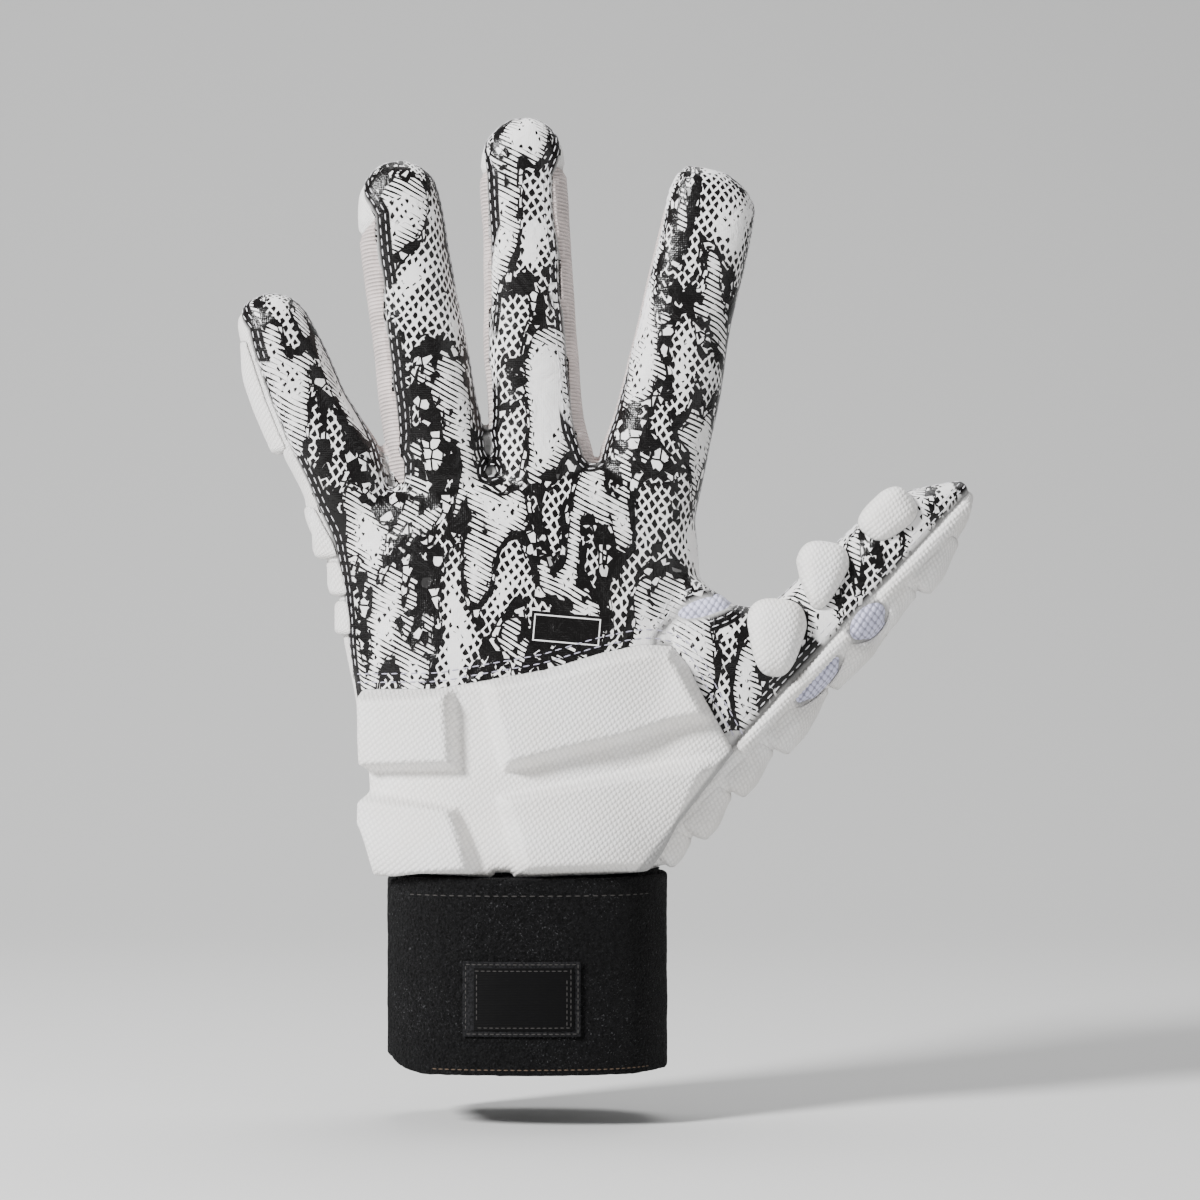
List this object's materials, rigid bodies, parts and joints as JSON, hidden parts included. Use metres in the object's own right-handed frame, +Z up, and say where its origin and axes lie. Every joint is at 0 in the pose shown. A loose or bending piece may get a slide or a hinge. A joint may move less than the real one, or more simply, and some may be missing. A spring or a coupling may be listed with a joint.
{
  "type": "padded football glove",
  "caption": "Right-hand padded football glove for a lineman: printed grip palm, foam pads on the heel of the hand and thumb, knit sidewalls and a wide wrist strap, worn palm forward.",
  "frame": {"origin": "centre of the wrist opening, level with the strap's lower edge", "axes": "+Z up along the wrist towards the fingertips, palm towards -Y, thumb towards +X"},
  "size_m": [0.1921, 0.0556, 0.2451],
  "materials": {
    "printed_grip": "white grip cloth with a glossy black raised print",
    "white_cloth": "matt fine weave",
    "white_padding": "matt pebbled cloth over foam",
    "ribbed_knit": "matt ribbed knit",
    "lilac_mesh": "matt open mesh",
    "black_knit": "matt knit",
    "black_loop_cloth": "matt brushed loop cloth",
    "black_satin": "satin"
  },
  "bodies": {
    "root": {"palm_grip_panel": "printed_grip", "thumb_grip_panel": "printed_grip", "back_panel": "white_cloth", "finger_back_panel": "white_cloth", "thumb_outer_panel": "white_cloth", "sidewall_little_ring": "ribbed_knit", "sidewall_ring_middle": "ribbed_knit", "sidewall_middle_index": "ribbed_knit", "mesh_vent_thumb_upper": "lilac_mesh", "mesh_vent_thumb_lower": "lilac_mesh", "mesh_vent_web": "lilac_mesh", "heel_pad": "white_padding", "little_finger_pad": "white_padding", "wrist_cuff": "black_knit", "wrist_strap": "black_loop_cloth", "strap_label": "black_satin", "thumb_piping_lower": "white_cloth", "thumb_piping_upper": "white_cloth", "thumb_pad_1": "white_padding", "hand_edge_pad_1": "white_padding", "thumb_pad_2": "white_padding", "hand_edge_pad_2": "white_padding", "thumb_pad_3": "white_padding", "hand_edge_pad_3": "white_padding", "thumb_back_pad_1": "white_padding", "thumb_back_pad_2": "white_padding", "thumb_back_pad_3": "white_padding", "thumb_back_pad_4": "white_padding", "thumb_back_pad_5": "white_padding", "thumb_back_pad_6": "white_padding"}
  },
  "joints": []
}
